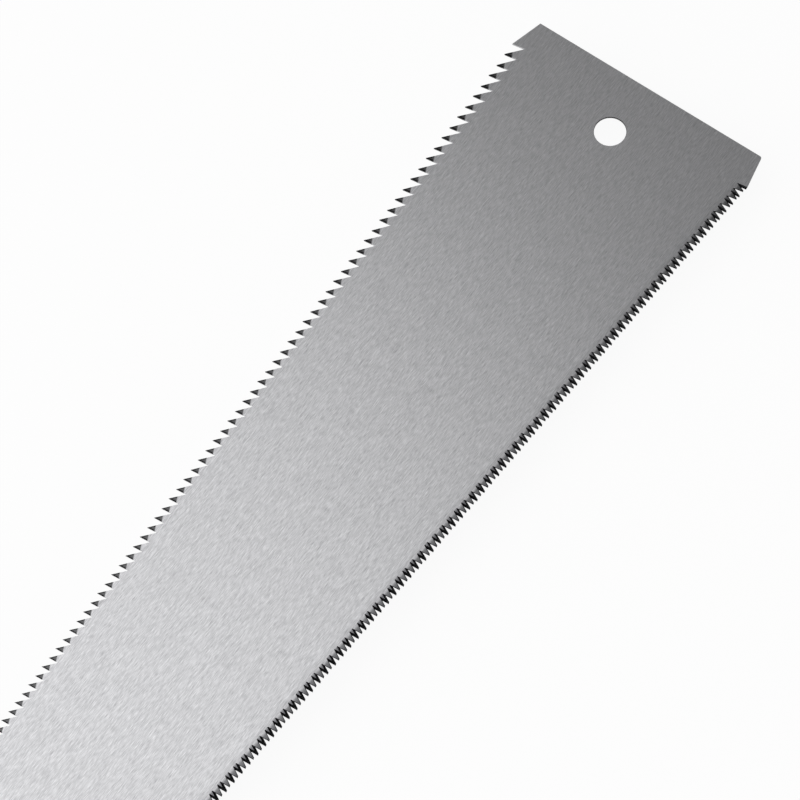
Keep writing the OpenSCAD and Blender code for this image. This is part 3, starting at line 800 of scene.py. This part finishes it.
def beech(name, heart):
    """Steamed beech: pinkish tan with soft growth bands and short dark flecks along the grain.
    The heart of the tree lies off the piece, so the bands cross it in wide arcs."""
    wood = start_material(name)
    spot = add(wood, "TexCoord").outputs["Object"]
    moved = add(
        wood, "Mapping",
        inputs={"Vector": spot, "Location": heart, "Scale": (GRAIN_DRAWN_OUT, 1, 1)},
    )
    bands = add(
        wood, "TexWave", {"wave_type": "RINGS", "rings_direction": "X"},
        {
            "Vector": moved, "Scale": TEXTURE_RING / RING_STEP, "Distortion": 6,
            "Detail": 2, "Detail Scale": 0.6, "Detail Roughness": 0.5,
        },
    )
    fibre = fibres(wood, length=40 * MM, width=0.5 * MM, place=heart)
    fleck = fibres(wood, length=2.6 * MM, width=0.35 * MM, place=heart, detail=1)
    dark = add(
        wood, "MapRange", {"interpolation_type": "SMOOTHSTEP"},
        {"Value": fleck, "From Min": 0.6, "From Max": 0.72},
    )
    tone = add(wood, "Math", {"operation": "MULTIPLY_ADD"}, {0: bands, 1: 0.45, 2: fibre})
    tone = add(wood, "MapRange", inputs={"Value": tone, "From Min": 0.3, "From Max": 1.1})
    plain = add(
        wood, "Mix", {"data_type": "RGBA"},
        {"Factor": tone, "A": linear("#B5834F"), "B": linear("#D6AA76")},
    )
    fleck_share = add(wood, "Math", {"operation": "MULTIPLY"}, {0: dark, 1: 0.6})
    colour = add(
        wood, "Mix", {"data_type": "RGBA"},
        {"Factor": fleck_share, "A": plain, "B": linear("#8A5C34")},
    )
    rough = add(wood, "MapRange", inputs={"Value": fibre, "To Min": 0.5, "To Max": 0.36})
    pores = add(wood, "Bump", inputs={"Height": fibre, "Strength": 0.15, "Distance": 0.1 * MM})
    shader = add(
        wood, "BsdfPrincipled", inputs={"Base Color": colour, "Roughness": rough, "Normal": pores}
    )
    return cover(wood, shader)


halves = (
    ("top_half", "handle_upper", (0, 4 * MM, 30 * MM)),
    ("bottom_half", "handle_lower", (300 * MM, -6 * MM, 50 * MM)),
)
for name, node, heart in halves:
    half_shape = cad_copy(node)
    flatten(half_shape)
    soften(half_shape, WOOD_EDGE)
    make_piece(name, half_shape, node, [beech(f"oiled_beech_{name}", heart)], smooth=SHARP)

# Dowels. Two pegs turned from beech, with pressed flutes for the glue. They stand in both halves of
# the handle, line them up while the glue sets, and are out of sight.
DOWEL_FLUTES = 20
FLUTE_DEPTH = 0.25 * MM
dowel_low, dowel_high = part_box("alignment_dowels")
dowel_r = (dowel_high.y - dowel_low.y) / 2
dowel_shape = bmesh.new()
for x in (dowel_low.x + dowel_r, dowel_high.x - dowel_r):
    place = Matrix.Translation((x, 0, (dowel_low.z + dowel_high.z) / 2))
    peg = bmesh.ops.create_cone(
        dowel_shape, cap_ends=True, segments=2 * DOWEL_FLUTES, radius1=dowel_r, radius2=dowel_r,
        depth=dowel_high.z - dowel_low.z, matrix=place,
    )["verts"]
    for vert in peg:
        spoke = (vert.co - place.translation).xy
        flute = round(math.atan2(spoke.y, spoke.x) / math.pi * DOWEL_FLUTES)
        if flute % 2:
            vert.co.xy -= spoke.normalized() * FLUTE_DEPTH
soften(dowel_shape, SMALL_EDGE)
bare_beech = beech("bare_beech", (100 * MM, 0, 20 * MM))
make_piece("dowels", dowel_shape, "alignment_dowels", [bare_beech], smooth=CREASE)

# Ferrule. A cup drawn from steel sheet and nickel-plated, pushed over the front of the wood, with a
# slot for the holder's tail.
FERRULE_EDGE = 0.4 * MM
ferrule_shape = cad_copy("ferrule")
flatten(ferrule_shape)
soften(ferrule_shape, FERRULE_EDGE)
make_piece("front_ferrule", ferrule_shape, "ferrule", [nickel_plate], smooth=SHARP)

# Ferrule nails. Two pins of brass wire, driven through the cup into the wood from above and from
# below. Their heads are filed down to low domes.
NAIL_LENGTH = 6.9 * MM
NAIL_DOME = 0.3 * MM
nail_low, nail_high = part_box("ferrule_nails")
nail_r = (nail_high.x - nail_low.x) / 2
nail_axis = (nail_low + nail_high) / 2
nail_shape = bmesh.new()
for head, inward in ((nail_high.z, -1), (nail_low.z, 1)):
    end = head + inward * NAIL_LENGTH
    nail_head = dome(nail_r, head + inward * NAIL_DOME, -inward * NAIL_DOME)
    turn(nail_shape, [(0, end), (nail_r, end)] + nail_head, nail_axis)
nail_brass = turned_brass("nail_brass", nail_axis)
make_piece("ferrule_pins", nail_shape, "ferrule_nails", [nail_brass], smooth=CREASE)

# Sleeve nuts and screws. Brass sleeve nuts go down through the wood and the holder's tail, and
# slotted brass screws come up into them from below.
BARREL_R = 3 * MM
BARREL_BORE = 2.05 * MM
BARREL_HEAD = 1.2 * MM
BORE_END = 2.4 * MM
HEAD_DOME = 0.5 * MM
barrel_low, barrel_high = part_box("handle_barrels")
barrel_head = (barrel_high.y - barrel_low.y) / 2
head_under = barrel_high.z - BARREL_HEAD
bore_top = barrel_high.z - BORE_END
barrel = [
    (0, bore_top), (BARREL_BORE, bore_top), (BARREL_BORE, barrel_low.z),
    (BARREL_R, barrel_low.z), (BARREL_R, head_under), (barrel_head, head_under),
]
barrel += dome(barrel_head, barrel_high.z - HEAD_DOME, HEAD_DOME)
barrel_shape = bmesh.new()
for x in (barrel_low.x + barrel_head, barrel_high.x - barrel_head):
    turn(barrel_shape, barrel, Vector((x, 0, 0)))
bolt_middle = (barrel_low + barrel_high) / 2
bolts_apart = barrel_high.x - barrel_low.x - 2 * barrel_head
bolt_brass = turned_brass("bolt_brass", bolt_middle, bolts_apart)
make_piece("sleeve_nuts", barrel_shape, "handle_barrels", [bolt_brass], smooth=CREASE)
bolt_shape = cad_copy("handle_screws")
flatten(bolt_shape)
soften(bolt_shape, SMALL_EDGE)
make_piece("slotted_screws", bolt_shape, "handle_screws", [bolt_brass], smooth=CREASE)

# Eyelet. A brass tube through the butt, flared into a flange at each end that holds it in the wood.
# The saw hangs by it.
EYELET_WALL = 0.8 * MM
FLANGE_EDGE = 0.3 * MM
eyelet_low, eyelet_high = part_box("hang_eyelet")
hang_mount = next(m for m in frame["record"]["mounts"] if m["name"] == "butt_hang_hole")
bore = hang_mount["dims"]["r_mm"] * MM
flange = (eyelet_high.x - eyelet_low.x) / 2
tube = bore + EYELET_WALL
eyelet_profile = [
    (bore, eyelet_low.z), (flange, eyelet_low.z), (flange, eyelet_low.z + EYELET_WALL),
    (tube, eyelet_low.z + EYELET_WALL), (tube, eyelet_high.z - EYELET_WALL),
    (flange, eyelet_high.z - EYELET_WALL), (flange, eyelet_high.z), (bore, eyelet_high.z),
]
eyelet_shape = bmesh.new()
hang_at = Vector(hang_mount["pos_m"])
turn(eyelet_shape, eyelet_profile, hang_at, closed=True)
soften(eyelet_shape, FLANGE_EDGE)
eyelet_brass = turned_brass("eyelet_brass", hang_at)
make_piece("butt_eyelet", eyelet_shape, "hang_eyelet", [eyelet_brass], smooth=CREASE)

# Floor. A sheet of plain white paper under the saw. It shows as white to the camera and in the
# metal, and keeps the saw's soft shadow.
FLOOR_HALF = 4
WHITE_SHARE = 0.92
paper = start_material("white_paper")
ray = add(paper, "LightPath")
seen = add(
    paper, "Math", {"operation": "MAXIMUM"},
    {0: ray.outputs["Is Camera Ray"], 1: ray.outputs["Is Glossy Ray"]},
)
seen = add(
    paper, "Math", {"operation": "MAXIMUM"}, {0: seen, 1: ray.outputs["Is Transmission Ray"]}
)
share = add(paper, "Math", {"operation": "MULTIPLY"}, {0: seen, 1: WHITE_SHARE})
matt = add(paper, "BsdfDiffuse", inputs={"Color": linear("#F4F4F4")})
glow = add(paper, "Emission", inputs={"Color": linear("#FFFFFF"), "Strength": 1})
cover(paper, add(paper, "MixShader", inputs={0: share, 1: matt, 2: glow}))
floor_shape = bmesh.new()
bmesh.ops.create_grid(floor_shape, x_segments=1, y_segments=1, size=FLOOR_HALF)
floor_mesh = bpy.data.meshes.new("floor")
floor_shape.to_mesh(floor_mesh)
floor_shape.free()
floor_mesh.materials.append(paper)
floor = bpy.data.objects.new("floor", floor_mesh)
bpy.context.scene.collection.objects.link(floor)

# Light. One wide soft box over the rip side of the saw, towards the handle, in a room with white
# walls and a grey ceiling. The camera sees the room as white.
CEILING = 0.18
WALLS_TO = 0.15
CEILING_FROM = 0.6
BOX_AIM = Vector((200 * MM, 0, 0))
BOX_WIDTH = 2.2
BOX_LENGTH = 2.45
BOX_LEVEL = 1.49
BOX_DISTANCE = 1.42
BOX_AZIMUTH = math.radians(147)
BOX_ELEVATION = math.radians(55)
room = bpy.data.worlds.new("white_room")
room.use_nodes = True
room.node_tree.nodes.clear()
bpy.context.scene.world = room
way = add(room, "TexCoord").outputs["Generated"]
height = add(room, "SeparateXYZ", inputs={"Vector": way}).outputs["Z"]
ceiling = add(
    room, "MapRange", {"interpolation_type": "SMOOTHSTEP"},
    {
        "Value": height, "From Min": WALLS_TO, "From Max": CEILING_FROM,
        "To Min": 1, "To Max": CEILING,
    },
)
ray = add(room, "LightPath")
level = add(room, "Mix", inputs={"Factor": ray.outputs["Is Camera Ray"], "A": ceiling, "B": 1.0})
sky = add(room, "Background", inputs={"Color": linear("#FFFFFF"), "Strength": level})
add(room, "OutputWorld", inputs={"Surface": sky})
box_light = bpy.data.lights.new("soft_box", "AREA")
box_light.shape = "RECTANGLE"
box_light.size = BOX_WIDTH
box_light.size_y = BOX_LENGTH
box_light.energy = BOX_LEVEL * math.pi * BOX_WIDTH * BOX_LENGTH
box_way = Vector((
    math.cos(BOX_ELEVATION) * math.cos(BOX_AZIMUTH),
    math.cos(BOX_ELEVATION) * math.sin(BOX_AZIMUTH),
    math.sin(BOX_ELEVATION),
))
soft_box = bpy.data.objects.new("soft_box", box_light)
soft_box.location = BOX_AIM + BOX_DISTANCE * box_way
soft_box.rotation_mode = "QUATERNION"
soft_box.rotation_quaternion = box_way.to_track_quat("Z", "Y")
soft_box.visible_camera = False
bpy.context.scene.collection.objects.link(soft_box)
bpy.context.scene.view_settings.view_transform = "Standard"

# Camera. Above the crosscut side and turned about its own line of sight, so that the blade runs
# from the lower left to the upper right of the picture and the handle lies outside it.
AZIMUTH = math.radians(-36.684)
ELEVATION = math.radians(69.468)
ROLL = math.radians(-16.24)
DISTANCE = 435.9 * MM
FOCAL_LENGTH = 72.23
SENSOR_WIDTH = 36
NEAREST = 10 * MM
AIM_FROM_TOE = 116.76 * MM
AIM_ASIDE = -0.77 * MM
aim = Vector((toe_x - AIM_FROM_TOE, AIM_ASIDE, (blade_low.z + blade_high.z) / 2))
back = Vector((
    math.sin(AZIMUTH) * math.cos(ELEVATION),
    -math.cos(AZIMUTH) * math.cos(ELEVATION),
    math.sin(ELEVATION),
))
level_right = Vector((math.cos(AZIMUTH), math.sin(AZIMUTH), 0))
level_up = back.cross(level_right)
right = level_right * math.cos(ROLL) + level_up * math.sin(ROLL)
up = level_up * math.cos(ROLL) - level_right * math.sin(ROLL)
lens = bpy.data.cameras.new("camera")
lens.lens = FOCAL_LENGTH
lens.sensor_width = SENSOR_WIDTH
lens.clip_start = NEAREST
camera = bpy.data.objects.new("camera", lens)
bpy.context.scene.collection.objects.link(camera)
turned = Matrix((right, up, back)).transposed().to_4x4()
camera.matrix_world = Matrix.Translation(aim + back * DISTANCE) @ turned
bpy.context.scene.camera = camera
